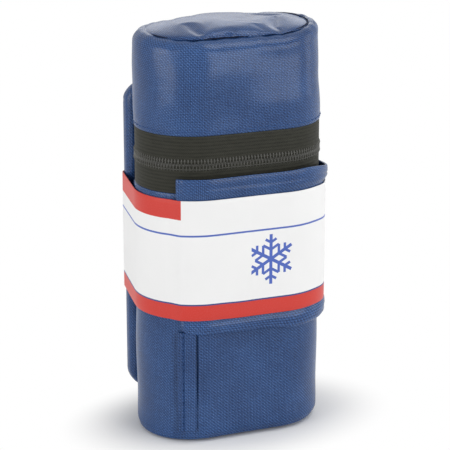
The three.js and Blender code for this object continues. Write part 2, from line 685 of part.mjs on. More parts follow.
const lid = new THREE.Group();
lid.add(
  mesh('lid_cover', lidCover(), CLOTH),
  mesh('lid_top_panel', lidTopPanel(), CLOTH),
  mesh('lid_insulation', lidInsulation(), WHITE_FOAM),
  mesh('lid_top_insulation', lidTopInsulation(), WHITE_FOAM),
  mesh('lid_lining', lidLining(), SILVER_LINING),
  mesh('zipper_tape_upper', zipperTape(1), TAPE_CLOTH),
  mesh('zipper_coil_upper', zipperCoil(-1), COIL_NYLON),
  mesh('rear_pocket_top', rearPocketTop(), CLOTH),
);

const slider = new THREE.Group();
slider.position.set(END_CENTRE, 0, ZIP_HEIGHT);
slider.rotation.z = radians(SLIDER_PARK);
slider.add(mesh('zipper_slider', zipperSlider(), ZINC), mesh('zipper_pull', zipperPull(), ZINC));

const coolingCase = new THREE.Group();
coolingCase.add(body, lid, slider);

export default coolingCase;
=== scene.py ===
import math

import bpy
import numpy as np
from mathutils import Matrix, Vector
from mathutils.geometry import delaunay_2d_cdt


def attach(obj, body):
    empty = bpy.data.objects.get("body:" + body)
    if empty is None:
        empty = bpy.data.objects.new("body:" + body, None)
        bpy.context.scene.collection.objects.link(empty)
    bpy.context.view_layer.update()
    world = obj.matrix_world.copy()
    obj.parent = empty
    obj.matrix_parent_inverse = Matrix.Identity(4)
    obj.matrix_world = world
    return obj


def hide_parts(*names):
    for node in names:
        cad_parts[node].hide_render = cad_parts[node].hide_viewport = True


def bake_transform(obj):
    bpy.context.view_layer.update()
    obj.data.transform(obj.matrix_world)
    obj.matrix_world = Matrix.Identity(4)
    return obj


# Looks of an insulated insulin case: woven covers, a coil zipper, pockets, a paper sleeve and linings.
# Lengths are in millimetres until a mesh is made, and in metres for camera, floor and lamps.
# Offsets are out from the cover's outside.
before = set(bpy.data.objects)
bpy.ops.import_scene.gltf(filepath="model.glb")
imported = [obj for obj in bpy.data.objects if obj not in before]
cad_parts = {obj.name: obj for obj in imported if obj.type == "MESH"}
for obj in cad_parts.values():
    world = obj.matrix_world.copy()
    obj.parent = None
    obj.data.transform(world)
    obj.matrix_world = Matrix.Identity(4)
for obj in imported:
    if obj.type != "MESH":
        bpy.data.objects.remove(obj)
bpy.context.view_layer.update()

MM = 0.001
UV = "weave"

# Outline of the case: a slot with round ends
END_CENTRE = 16.0
END_RADIUS = 25.0
END_ARC = math.pi * END_RADIUS
PERIMETER = 2 * END_ARC + 4 * END_CENTRE
EDGE_RADIUS = 5.0

# Levels
ZIP = 124.0
TAPE_WIDTH = 12.0
TOP_SEAM = 175.5
SLEEVE_LOW, SLEEVE_TOP = 57.0, 109.8
POCKET_LOW, POCKET_TOP = 51.0, 119.3
REAR_LOW, REAR_TOP = 8.5, 150.0
FOOT_LOW, BODY_TOP = 0.3, 111.2
LID_LOW = 136.8
BODY_STITCH, LID_STITCH = 110.4, 138.0
TOP_HEM_SEAM, LOW_HEM_SEAM = POCKET_TOP - 4.2, POCKET_LOW + 2.0

# Offsets: the case's own middle, and the middle of each cloth with its thickness
CENTRE = -24.98
COVER_MIDDLE, COVER_CLOTH = -0.5, 1.0
TAPE_MIDDLE, TAPE_CLOTH = -0.6, 0.8

# Places along the outline, from the front middle to the right
POCKET_SPAN = (-29.96, 72.7)
SEAM_SPAN = (-31.96, -24.1)
TAPE_REACH = 79.7
CHAIN_REACH = 75.3

# How much further the filled pocket stands out at its right end
RIGHT_BULGE = 0.7

# Rear pocket
REAR_HALF = 36.5
REAR_FRONT, REAR_BACK = 25.3, 33.6
REAR_CORNER = 9.5
REAR_CLOTH = 1.2


# Outlines seen from above

def case_plan(s):
    """Points and outward normals of the cover's outside at distances s."""
    rest = np.mod(s + END_CENTRE, PERIMETER)
    side = np.where(rest < PERIMETER / 2, 1.0, -1.0)
    rest = np.mod(rest, PERIMETER / 2)
    angle = np.clip((rest - 2 * END_CENTRE) / END_RADIUS, 0, math.pi)
    along = np.minimum(rest, 2 * END_CENTRE) - END_CENTRE
    normal = np.stack((side * np.sin(angle), -side * np.cos(angle)), axis=-1)
    point = END_RADIUS * normal
    point[..., 0] += side * along
    return point, normal


def polyline_plan(points, normals, start):
    """A closed plan through points, with distances counted from the point numbered start."""
    points = np.roll(points, -start, axis=0)
    normals = np.roll(normals, -start, axis=0)
    steps = np.linalg.norm(np.roll(points, -1, axis=0) - points, axis=1)
    at = np.concatenate(([0], np.cumsum(steps)[:-1]))
    length = steps.sum()

    def plan(s):
        point, normal = (
            np.stack([np.interp(s, at, line[:, k], period=length) for k in (0, 1)], axis=-1)
            for line in (points, normals)
        )
        return point, normal / np.linalg.norm(normal, axis=-1, keepdims=True)

    return plan, length


def plan_arc(centre, radius, start, end, steps):
    angle = np.linspace(start, end, steps)
    normal = np.stack((np.cos(angle), np.sin(angle)), axis=1)
    return np.array(centre) + radius * normal, normal


def mirrored(arc):
    points, normals = arc
    flip = np.array((-1.0, 1.0))
    return points[::-1] * flip, normals[::-1] * flip


def sleeve_plan():
    """Middle of the paper: round the pocket and the left end, straight on to the rear pocket's corners."""
    corner = np.array((REAR_HALF - 3, REAR_BACK - 3))
    small, right, left = 3.55, END_RADIUS + 2.05, END_RADIUS + 0.55
    way = corner - np.array((END_CENTRE, 0))
    bearing, reach = math.atan2(way[1], way[0]), np.linalg.norm(way)
    leave_right = bearing - math.acos((right - small) / reach)
    leave_left = bearing - math.acos((left - small) / reach)
    front, back = -math.pi / 2, math.pi / 2
    pocket_edge = front + math.radians(32.7)
    end = (END_CENTRE, 0)
    arcs = [
        plan_arc((END_CENTRE + RIGHT_BULGE, 0), right, front, leave_right, 40),
        plan_arc(corner, small, leave_right, back, 14),
        mirrored(plan_arc(corner, small, leave_left, back, 14)),
        mirrored(plan_arc(end, left, pocket_edge + 0.2, leave_left, 36)),
        mirrored(plan_arc(end, right, front, pocket_edge, 12)),
        (np.array([(0.0, -right)]), np.array([(0.0, -1.0)])),
    ]
    points, normals = (np.concatenate(part) for part in zip(*arcs))
    return polyline_plan(points, normals, len(points) - 1)


sleeve_outline, SLEEVE_LENGTH = sleeve_plan()


def from_core(places):
    """Ways out to places from the line between the ends' middles, seen from above, and their lengths."""
    way = places[:, :2].copy()
    way[:, 0] -= np.clip(way[:, 0], -END_CENTRE, END_CENTRE)
    return way, np.maximum(np.linalg.norm(way, axis=1), 1e-6)


# Section lines of offset and height

def corner_arc(centre, radius, start, end, steps=10):
    angle = np.radians(np.linspace(start, end, steps))
    return np.stack((centre[0] + radius * np.cos(angle), centre[1] + radius * np.sin(angle)), axis=1)


def distances(path):
    return np.concatenate(([0], np.cumsum(np.linalg.norm(np.diff(path, axis=0), axis=1))))


def resample(path, pitch):
    path = np.asarray(path, float)
    at = distances(path)
    even = np.linspace(0, at[-1], max(3, round(at[-1] / pitch) + 1))
    return np.stack([np.interp(even, at, path[:, k]) for k in (0, 1)], axis=1)


def softened(path, passes):
    """Rounds a line's corners, with its ends held."""
    path = resample(path, 0.5)
    for _ in range(passes):
        path[1:-1] = (path[:-2] + 2 * path[1:-1] + path[2:]) / 4
    return path


# Folds, swells and puckers of the cloth

def ripples(s, z, seed, waves=(2, 9), rise=(0.004, 0.03), count=8):
    """Smooth uneven waves of about unit height that close up round the case."""
    rng = np.random.default_rng(seed)
    total = 0
    for _ in range(count):
        turns = rng.integers(*waves)
        slope = rng.uniform(*rise) * rng.choice((-1, 1))
        total = total + np.sin(2 * math.pi * (turns * s / PERIMETER + slope * z) + rng.uniform(0, 6.28))
    return total / math.sqrt(count)


def near(z, level, width):
    return np.exp(-((z - level) / width) ** 2)


def ease(value, low, high):
    """0 up to low, 1 from high on and a smooth rise between."""
    t = np.clip((value - low) / (high - low), 0, 1)
    return t * t * (3 - 2 * t)


def fall(value, low, high):
    return 1 - ease(value, low, high)


def from_front(s, around=PERIMETER):
    """Distance from the front middle, less than 0 to the left."""
    return np.mod(s + around / 2, around) - around / 2


def facings(normal):
    """How far a normal faces the front, the back, the left and the right, each from 0 to 1."""
    x, y = normal[..., 0], normal[..., 1]
    return [np.maximum(side, 0) for side in (-y, y, -x, x)]


# Meshes

def add_object(name, data):
    obj = bpy.data.objects.new(name, data)
    bpy.context.scene.collection.objects.link(obj)
    return obj


def vertex_places(mesh):
    places = np.empty(len(mesh.vertices) * 3, np.float32)
    mesh.vertices.foreach_get("co", places)
    return places.reshape(-1, 3)


def make_object(name, points, faces, loop_uv):
    mesh = bpy.data.meshes.new(name)
    mesh.from_pydata((np.asarray(points) * MM).tolist(), [], faces)
    layer = mesh.uv_layers.new(name=UV)
    layer.data.foreach_set("uv", np.asarray(loop_uv, np.float32).ravel())
    mesh.shade_smooth()
    mesh.set_sharp_from_angle(angle=math.radians(55))
    mesh.validate()
    return add_object(name, mesh)


def grid_mesh(name, points, u, v, wrap):
    """Closed skin from rings of points, joined in a loop if wrap is set and capped at both ends if not."""
    n, m = points.shape[:2]
    i, j = np.meshgrid(np.arange(n if wrap else n - 1), np.arange(m), indexing="ij")
    far, side = (i + 1) % n, (j + 1) % m
    quads = np.stack((i * m + j, far * m + j, far * m + side, i * m + side), axis=-1).reshape(-1, 4)
    across = np.stack((u[i], u[i + 1], u[i + 1], u[i]), axis=-1)
    up = np.stack((v[j], v[j], v[j + 1], v[j + 1]), axis=-1)
    loop_uv = np.stack((across, up), axis=-1).reshape(-1, 4, 2)
    flat = points.reshape(-1, 3)
    a, b, c, d = (flat[quads[:, k]] for k in range(4))
    inward = (np.cross(b - a, c - a) * a + np.cross(c - a, d - a) * a).sum() < 0
    if inward:
        quads, loop_uv = quads[:, ::-1], loop_uv[:, ::-1]
    faces, loops = quads.tolist(), [loop_uv.reshape(-1, 2)]
    if not wrap:
        ends = [np.arange(m)[::-1], np.arange(m) + (n - 1) * m]
        if inward:
            ends = [end[::-1] for end in ends]
        for end in ends:
            faces.append(end.tolist())
            loops.append(np.stack((u[end // m], v[end % m]), axis=1))
    return make_object(name, flat, faces, np.concatenate(loops))


def shell(name, path, thickness, span=None, swell=None, slide=None, drift=None, plan=case_plan,
          around=PERIMETER, spacing=1.6, pitch=1.5, turns=5):
    """Cloth of a thickness along a section line, swept round a plan, with rounded edges all round.
    swell pushes it out, slide moves it up and drift along the plan, at each place and height.
    Without a pitch the line stays as it is, and spacing may be the places themselves."""
    path = resample(path, pitch) if pitch else np.asarray(path)
    tangent = np.gradient(path, axis=0)
    tangent /= np.linalg.norm(tangent, axis=1, keepdims=True)
    normal = np.stack((tangent[:, 1], -tangent[:, 0]), axis=1)
    length = distances(path)
    last = len(path) - 1
    arc = np.linspace(0, math.pi, turns + 2)[1:-1]
    out, back = np.arange(last + 1), np.arange(last, -1, -1)
    index = np.concatenate((out, np.full(turns, last), back, np.zeros(turns, int)))
    angle = np.concatenate((np.zeros(last + 1), arc, np.full(last + 1, math.pi), arc + math.pi))
    half = thickness / 2
    far = 2 * length[-1] + math.pi * half
    v = np.concatenate((length, length[-1] + arc * half, far - length[::-1], (arc - math.pi) * half, [0]))
    if span is None:
        s = spacing
        if np.isscalar(spacing):
            s = np.linspace(0, around, round(around / spacing), endpoint=False)
        shrink = np.ones(len(s))
        u = np.append(s, s[0] + around)
    else:
        inner = np.linspace(span[0] + half, span[1] - half, max(2, round((span[1] - span[0]) / spacing)))
        lean = np.radians((25, 50, 72))
        s = np.concatenate((inner[0] - half * np.sin(lean[::-1]), inner, inner[-1] + half * np.sin(lean)))
        shrink = np.concatenate((np.cos(lean[::-1]), np.ones(len(inner)), np.cos(lean)))
        u = s
    at = s[:, None], path[None, index, 1]
    puff = 0 if swell is None else swell(*at)
    thick = half * shrink[:, None]
    offset = path[index, 0] + puff * normal[index, 0]
    offset = offset + thick * (np.cos(angle) * normal[index, 0] + np.sin(angle) * tangent[index, 0])
    z = path[index, 1] + puff * normal[index, 1]
    z = z + thick * (np.cos(angle) * normal[index, 1] + np.sin(angle) * tangent[index, 1])
    if slide is not None:
        z = z + slide(*at)
    point, outward = plan(at[0] if drift is None else at[0] + drift(*at))
    xy = point + outward * offset[..., None]
    return grid_mesh(name, np.concatenate((xy, z[..., None]), axis=2), u, v, span is None)


BEAD_SIDES = 6


def beads(name, places, axes, outs, length, wide, high, bow=0.0):
    """Rows of small rounded rods, one at each place, lying along its axis and bowed outwards."""
    places, axes, outs = (np.asarray(x, float) for x in (places, axes, outs))
    sides = np.cross(axes, outs)
    t = np.array((-1, -0.8, -0.35, 0.35, 0.8, 1))
    size = np.array((0.35, 0.8, 1, 1, 0.8, 0.35))
    turn = np.linspace(0, 2 * math.pi, BEAD_SIDES, endpoint=False)
    middle = places[:, None] + axes[:, None] * (t * length / 2)[:, None]
    middle = middle + outs[:, None] * (bow * (1 - t * t))[:, None]
    flat = sides[:, None, None] * (np.cos(turn) * wide / 2)[:, None]
    tall = outs[:, None, None] * (np.sin(turn) * high / 2)[:, None]
    points = middle[:, :, None] + (flat + tall) * size[:, None, None]
    rings = len(t)
    one = []
    for ring in range(0, (rings - 1) * BEAD_SIDES, BEAD_SIDES):
        for j in range(BEAD_SIDES):
            side, far = (j + 1) % BEAD_SIDES, ring + BEAD_SIDES
            one.append((ring + j, far + j, far + side, ring + side))
    caps = [range(BEAD_SIDES), range((rings - 1) * BEAD_SIDES, rings * BEAD_SIDES)[::-1]]
    first = np.arange(len(places)) * rings * BEAD_SIDES
    faces = [[f + k for k in face] for f in first.tolist() for face in [*one, *caps]]
    points = points.reshape(-1, 3)
    return make_object(name, points, faces, points[np.concatenate(faces)][:, (0, 2)])


def lay_flat(obj):
    """Sets the weave of a level piece as it runs seen from above."""
    mesh = obj.data
    corners = np.empty(len(mesh.loops), np.int32)
    mesh.loops.foreach_get("vertex_index", corners)
    mesh.uv_layers[UV].data.foreach_set("uv", (vertex_places(mesh)[corners, :2] / MM).ravel())


def upright(s, z, offset):
    """Places, upright directions and normals of rods on the case's outline, for beads."""
    point, normal = case_plan(s)
    places = np.column_stack((point + normal * offset, z))
    outs = np.column_stack((normal, np.zeros(len(s))))
    return places, np.tile((0.0, 0.0, 1.0), (len(s), 1)), outs


def outline_row(start, end, pitch, offset, z):
    """Row of rods that lie along the case's outline. Offset and height may depend on the place."""
    s = np.arange(start, end, pitch) + pitch / 2
    offset, z = (value(s) if callable(value) else np.full(len(s), value) for value in (offset, z))
    places, up, outs = upright(s, z, offset[:, None])
    return places, np.cross(up, outs), outs


# Materials

def put(tree, socket, value):
    """Links another node's output to a socket, or sets the socket's own value."""
    if isinstance(value, bpy.types.NodeSocket):
        tree.links.new(value, socket)
    else:
        socket.default_value = value


def empty_tree(owner):
    owner.use_nodes = True
    owner.node_tree.nodes.clear()
    return owner.node_tree


def add_node(tree, kind, inputs=(), **settings):
    made = tree.nodes.new(kind)
    for key, value in settings.items():
        setattr(made, key, value)
    for key, value in dict(inputs).items():
        put(tree, made.inputs[key], value)
    return made


class Recipe:
    """Short way to write a material's nodes round one Principled shader."""

    def __init__(self, name, **constants):
        self.material = bpy.data.materials.new(name)
        self.tree = empty_tree(self.material)
        self.shader = self.node("ShaderNodeBsdfPrincipled")
        self.node("ShaderNodeOutputMaterial", {0: self.shader.outputs[0]})
        for key, value in constants.items():
            self.shader.inputs[key.replace("_", " ")].default_value = value

    def node(self, kind, inputs=(), **settings):
        return add_node(self.tree, kind, inputs, **settings)

    def math(self, operation, *values):
        return self.node("ShaderNodeMath", enumerate(values), operation=operation).outputs[0]

    def add(self, a, b):
        return self.math("ADD", a, b)

    def times(self, a, b):
        return self.math("MULTIPLY", a, b)

    def scaled(self, value, factor, offset):
        return self.math("MULTIPLY_ADD", value, factor, offset)

    def ridges(self, value, pitch):
        """Rounded ridges from 0 to 1, one to each pitch."""
        return self.math("ABSOLUTE", self.math("SINE", self.times(value, math.pi / pitch)))

    def between(self, value, low, high):
        """1 where the value lies between two limits, else 0."""
        return self.times(self.math("GREATER_THAN", value, low), self.math("LESS_THAN", value, high))

    def uv(self):
        place = self.node("ShaderNodeUVMap", uv_map=UV).outputs[0]
        parts = self.node("ShaderNodeSeparateXYZ", {"Vector": place})
        return parts.outputs[0], parts.outputs[1]

    def place(self, scale=1 / MM):
        """Place in the object, in its own frame, times a scale per metre."""
        at = self.node("ShaderNodeTexCoord").outputs["Object"]
        return self.node("ShaderNodeVectorMath", {0: at, 3: scale}, operation="SCALE").outputs[0]

    def vector(self, x, y, z=0.0):
        return self.node("ShaderNodeCombineXYZ", {0: x, 1: y, 2: z}).outputs[0]

    def noise(self, vector, scale, detail=2.0, rough=0.5):
        inputs = {"Vector": vector, "Scale": scale, "Detail": detail, "Roughness": rough}
        return self.node("ShaderNodeTexNoise", inputs).outputs["Fac"]

    def blend(self, factor, a, b):
        return self.node("ShaderNodeMix", {0: factor, 2: a, 3: b}, data_type="FLOAT").outputs[0]

    def tint(self, factor, a, b):
        return self.node("ShaderNodeMix", {0: factor, 6: a, 7: b}, data_type="RGBA").outputs[2]

    def ramp(self, factor, *stops):
        made = self.node("ShaderNodeValToRGB", {"Fac": factor})
        elements = made.color_ramp.elements
        while len(elements) < len(stops):
            elements.new(1.0)
        for element, (position, colour) in zip(elements, stops):
            element.position = position
            element.color = colour
        return made.outputs[0]

    def finish(self, colour, roughness, height, depth, strength=1.0):
        """Links colour, roughness and a bump whose height of 1 stands for a depth in millimetres."""
        inputs = {"Height": height, "Distance": depth * MM, "Strength": strength}
        bump = self.node("ShaderNodeBump", inputs)
        for key, value in (("Base Color", colour), ("Roughness", roughness), ("Normal", bump.outputs[0])):
            put(self.tree, self.shader.inputs[key], value)
        return self.material


def rgb(red, green, blue):
    return (red, green, blue, 1.0)


def plain_weave(mat, u, v, pitch):
    """Height of a plain weave, and which of its two thread systems lies on top."""
    a, b = mat.times(u, 1 / pitch), mat.times(v, 1 / pitch)
    over = mat.node("ShaderNodeTexChecker", {"Vector": mat.vector(a, b), "Scale": 1.0}).outputs["Fac"]
    wave_a, wave_b = mat.ridges(a, 1), mat.ridges(b, 1)
    warp = mat.times(wave_a, mat.scaled(wave_b, 0.55, 0.45))
    weft = mat.times(wave_b, mat.scaled(wave_a, 0.55, 0.45))
    return mat.blend(over, warp, weft), over


def blue_cloth():
    mat = Recipe("blue_oxford_cloth", Coat_Weight=0.6, Coat_Roughness=0.24, Specular_IOR_Level=0.08)
    u, v = mat.uv()
    height, over = plain_weave(mat, u, v, pitch=0.70)
    along_warp = mat.noise(mat.vector(mat.times(u, 1.3), mat.times(v, 0.12)), 1.0)
    along_weft = mat.noise(mat.vector(mat.times(u, 0.12), mat.times(v, 1.3)), 1.0)
    thread = mat.blend(over, along_warp, along_weft)
    fibre = mat.noise(mat.vector(u, v), 2.4)
    patch = mat.noise(mat.vector(u, v), 0.045, 3.0)
    diagonal = mat.add(mat.times(u, 1 / 1.5), mat.times(v, 1 / 1.4))
    slant = mat.math("SINE", mat.times(diagonal, math.tau))
    # The weave's height paints highlight on the threads' crowns and shade in the gaps between them; the
    # thread noises, patches, fibre and slant give the cloth's own uneven tone.
    tone = mat.add(mat.times(height, 0.37), mat.scaled(thread, 0.3, 0.01))
    tone = mat.add(tone, mat.scaled(patch, 0.3, -0.15))
    tone = mat.add(tone, mat.scaled(fibre, 0.6, -0.3))
    tone = mat.scaled(slant, 0.1, tone)
    colour = mat.ramp(
        tone,
        (0.05, rgb(0.002, 0.012, 0.062)),
        (0.38, rgb(0.024, 0.074, 0.222)),
        (0.62, rgb(0.063, 0.164, 0.425)),
        (0.9, rgb(0.20, 0.35, 0.72)),
    )
    relief = mat.add(height, mat.times(fibre, 0.4))
    return mat.finish(colour, mat.scaled(height, -0.25, 0.8), relief, 0.3)


def tape_cloth():
    mat = Recipe("black_zipper_tape", Coat_Weight=0.1, Coat_Roughness=0.27, Specular_IOR_Level=0.12)
    u, v = mat.uv()
    fold = mat.math("PINGPONG", v, 1.5)
    rib = mat.ridges(mat.add(u, mat.times(fold, 0.9)), 0.8)
    ridge = mat.ridges(v, 1.5)
    worn = mat.noise(mat.vector(mat.times(u, 0.3), v), 0.6, 3.0)
    height = mat.add(mat.times(rib, 0.75), mat.times(ridge, 0.5))
    tone = mat.add(mat.times(height, 0.45), mat.times(worn, 0.4))
    colour = mat.ramp(tone, (0.15, rgb(0.004, 0.0045, 0.003)), (0.9, rgb(0.048, 0.048, 0.037)))
    return mat.finish(colour, mat.scaled(worn, 0.25, 0.55), height, 0.2, 0.9)


def thread(name, dark, light):
    mat = Recipe(name, Specular_IOR_Level=0.15)
    u, v = mat.uv()
    ply = mat.math("SINE", mat.times(mat.add(u, mat.times(v, 0.7)), 16.0))
    tone = mat.scaled(ply, 0.5, 0.5)
    return mat.finish(mat.tint(tone, dark, light), 0.6, tone, 0.05)


def coil_nylon():
    mat = Recipe("black_nylon_coil", Specular_IOR_Level=0.5)
    grain = mat.noise(mat.place(900.0), 1.0)
    colour = mat.tint(grain, rgb(0.022, 0.022, 0.018), rgb(0.070, 0.069, 0.058))
    return mat.finish(colour, mat.scaled(grain, 0.2, 0.24), grain, 0.03)


# Print on the sleeve: places along it from the front middle, and heights above its low edge
STRIPE_TOP, STRIPE_EDGE = 6.55, 7.2
RULE_LOW, RULE_TOP = 36.9, 37.7
HEADER_LEFT, HEADER_RIGHT, HEADER_LOW = 100.0, SLEEVE_LENGTH - 30.85, 44.2
SNOWFLAKE = {"at": (9.0, 24.0), "radius": 11.0, "arm": 0.72, "twig": 0.58}


def snowflake(mat, u, v):
    """1 inside a plain six-armed snow crystal, as on any thing that is kept cold."""
    x = mat.math("SUBTRACT", u, SNOWFLAKE["at"][0])
    y = mat.math("SUBTRACT", v, SNOWFLAKE["at"][1])
    radius = mat.math("SQRT", mat.add(mat.times(x, x), mat.times(y, y)))
    bearing = mat.add(mat.math("ARCTAN2", y, x), 4 * math.pi)
    folded = mat.math("SUBTRACT", mat.math("MODULO", bearing, math.pi / 3), math.pi / 6)
    out = mat.times(radius, mat.math("COSINE", folded))
    aside = mat.math("ABSOLUTE", mat.times(radius, mat.math("SINE", folded)))
    shape = mat.times(mat.math("LESS_THAN", aside, SNOWFLAKE["arm"]),
                      mat.math("LESS_THAN", out, SNOWFLAKE["radius"]))
    for root, reach in ((4.2, 4.2), (7.4, 2.9)):
        ahead = mat.math("SUBTRACT", out, root)
        along = mat.add(mat.times(ahead, 0.5), mat.times(aside, 0.866))
        across = mat.math("SUBTRACT", mat.times(aside, 0.5), mat.times(ahead, 0.866))
        twig = mat.times(mat.math("LESS_THAN", mat.math("ABSOLUTE", across), SNOWFLAKE["twig"]),
                         mat.between(along, 0.0, reach))
        shape = mat.math("MAXIMUM", shape, twig)
    return shape


def printed_paper():
    mat = Recipe("printed_paper", Specular_IOR_Level=0.2, Coat_Weight=0.1, Coat_Roughness=0.3)
    u, v = mat.uv()
    fibre = mat.noise(mat.vector(u, v), 2.2, 4.0, 0.65)
    cloud = mat.noise(mat.vector(u, v), 0.05)
    ink_grain = mat.scaled(fibre, 0.2, 0.9)
    colour = mat.tint(mat.add(mat.times(fibre, 0.5), mat.times(cloud, 0.5)),
                      rgb(0.80, 0.80, 0.80), rgb(0.90, 0.90, 0.895))
    red, blue, navy = rgb(0.60, 0.045, 0.033), rgb(0.075, 0.135, 0.48), rgb(0.035, 0.06, 0.22)
    header = mat.times(mat.between(u, HEADER_LEFT, HEADER_RIGHT), mat.math("GREATER_THAN", v, HEADER_LOW))
    prints = [
        (mat.math("LESS_THAN", v, STRIPE_TOP), red),
        (mat.between(v, STRIPE_TOP, STRIPE_EDGE), navy),
        (mat.between(v, RULE_LOW, RULE_TOP), blue),
        (header, red),
        (snowflake(mat, u, v), blue),
    ]
    for shape, ink in prints:
        colour = mat.tint(mat.times(shape, ink_grain), colour, ink)
    return mat.finish(colour, mat.scaled(fibre, 0.15, 0.38), fibre, 0.02, 0.5)


def foam_material():
    mat = Recipe("closed_cell_foam", Specular_IOR_Level=0.25)
    at = mat.place()
    cells = mat.node("ShaderNodeTexVoronoi", {"Vector": at, "Scale": 1.3}).outputs["Distance"]
    cloud = mat.noise(at, 0.08, 3.0)
    tone = mat.add(mat.times(cells, 0.5), mat.times(cloud, 0.5))
    colour = mat.ramp(tone, (0.15, rgb(0.60, 0.59, 0.56)), (0.7, rgb(0.80, 0.79, 0.765)))
    return mat.finish(colour, mat.scaled(cells, 0.1, 0.82), cells, 0.25, 0.6)


def lining_film():
    mat = Recipe("silver_lining_film", Metallic=0.75, Specular_IOR_Level=0.5)
    at = mat.place()
    crumple = mat.noise(at, 0.16, 5.0, 0.6)
    fine = mat.noise(at, 1.1)
    colour = mat.tint(crumple, rgb(0.55, 0.56, 0.58), rgb(0.78, 0.79, 0.80))
    height = mat.add(crumple, mat.times(fine, 0.12))
    return mat.finish(colour, mat.scaled(fine, 0.2, 0.28), height, 1.1, 0.7)


def pack_plastic():
    mat = Recipe("pack_polyethylene", Specular_IOR_Level=0.4, Subsurface_Weight=0.15,
                 Subsurface_Scale=0.004)
    grain = mat.noise(mat.place(), 0.9, 4.0)
    colour = mat.tint(grain, rgb(0.66, 0.74, 0.80), rgb(0.76, 0.83, 0.88))
    return mat.finish(colour, mat.scaled(grain, 0.2, 0.35), grain, 0.04)


def pack_gel():
    mat = Recipe("pack_gel", Specular_IOR_Level=0.5, Subsurface_Weight=0.3, Subsurface_Scale=0.006)
    cloud = mat.noise(mat.place(), 0.12, 3.0)
    colour = mat.tint(cloud, rgb(0.12, 0.32, 0.58), rgb(0.25, 0.48, 0.72))
    return mat.finish(colour, mat.scaled(cloud, 0.1, 0.1), cloud, 0.3)


def dark_zinc():
    mat = Recipe("dark_zinc", Metallic=1.0)
    at = mat.place()
    grain = mat.noise(at, 2.5, 4.0)
    worn = mat.noise(at, 0.25, 3.0)
    colour = mat.ramp(worn, (0.35, rgb(0.11, 0.11, 0.115)), (0.75, rgb(0.18, 0.18, 0.185)))
    return mat.finish(colour, mat.scaled(grain, 0.25, 0.25), grain, 0.03)


def dress(obj, material, body, slot, *nodes):
    """Gives a piece its material, its body if it rides on one, and hides the nodes it stands for; slot is
    not used.
    """
    obj.data.materials.clear()
    obj.data.materials.append(material)
    if body:
        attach(obj, body)
    if nodes:
        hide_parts(*nodes)


BLUE = blue_cloth()
TAPE = tape_cloth()
BLUE_THREAD = thread("blue_thread", rgb(0.025, 0.06, 0.18), rgb(0.065, 0.14, 0.34))
# Near-black, for beads that paint the shade of the lid's top seam groove; the case has no such thread
# there.
PAINTED_SEAM_SHADE = thread("painted_seam_shade", rgb(0.003, 0.006, 0.02), rgb(0.010, 0.018, 0.05))
GREY_THREAD = thread("grey_thread", rgb(0.06, 0.06, 0.053), rgb(0.16, 0.16, 0.145))
COIL = coil_nylon()
PAPER = printed_paper()
FOAM = foam_material()
FILM = lining_film()
ZINC = dark_zinc()


# Camera, floor and light

# The lamps' azimuth, elevation, distance, width, height and power
LAMPS = {
    "key": (-76, 10, 0.8, 0.55, 0.6, 3.1),
    "fill": (33, 4, 0.9, 0.9, 0.6, 4.0),
    "right": (84, 12, 0.9, 0.22, 0.6, 0.6),
    "top": (46, 62, 0.9, 0.5, 0.5, 2.2),
    "back": (158, 22, 0.9, 0.5, 0.3, 0.6),
}
LAMP_TARGET = (0, 0, 0.09)
CAMERA_TARGET = (-0.0011, 0.0, 0.0894)
WORLD_LIGHT = 0.42
FLOOR_HALF = 4.0
FLOOR_FADE = {"From Min": 0.025, "From Max": 0.054}
FLOOR_SQUEEZE = (0.68, 1.0, 1.0)


def aimed(data, target, azimuth, elevation, distance):
    """A camera or lamp that looks at a target from a bearing in degrees, counted from the front."""
    a, e = math.radians(azimuth), math.radians(elevation)
    back = Vector((math.sin(a) * math.cos(e), -math.cos(a) * math.cos(e), math.sin(e)))
    obj = add_object(data.name, data)
    obj.location = Vector(target) + distance * back
    obj.rotation_euler = (-back).to_track_quat("-Z", "Y").to_euler()
    return obj


def make_camera():
    data = bpy.data.cameras.new("camera")
    data.lens = 144.0
    data.sensor_width = 36.0
    bpy.context.scene.camera = aimed(data, CAMERA_TARGET, azimuth=-21.9, elevation=16.6, distance=0.7833)


def seen_rays(tree):
    """1 for the rays that show the background: straight, mirrored or through glass."""
    light = add_node(tree, "ShaderNodeLightPath").outputs
    seen = light["Is Camera Ray"]
    for name in ("Is Glossy Ray", "Is Transmission Ray"):
        seen = add_node(tree, "ShaderNodeMath", {0: seen, 1: light[name]}, operation="MAXIMUM").outputs[0]
    return seen


def show_mix(tree, share, first, second, output):
    inputs = {0: share, 1: first.outputs[0], 2: second.outputs[0]}
    add_node(tree, output, {0: add_node(tree, "ShaderNodeMixShader", inputs).outputs[0]})


def make_world():
    world = bpy.data.worlds.new("studio")
    bpy.context.scene.world = world
    tree = empty_tree(world)
    lit, shown = (
        add_node(tree, "ShaderNodeBackground", {"Color": rgb(1.0, 1.0, 1.0), "Strength": strength})
        for strength in (WORLD_LIGHT, 1.0)
    )
    show_mix(tree, seen_rays(tree), lit, shown, "ShaderNodeOutputWorld")


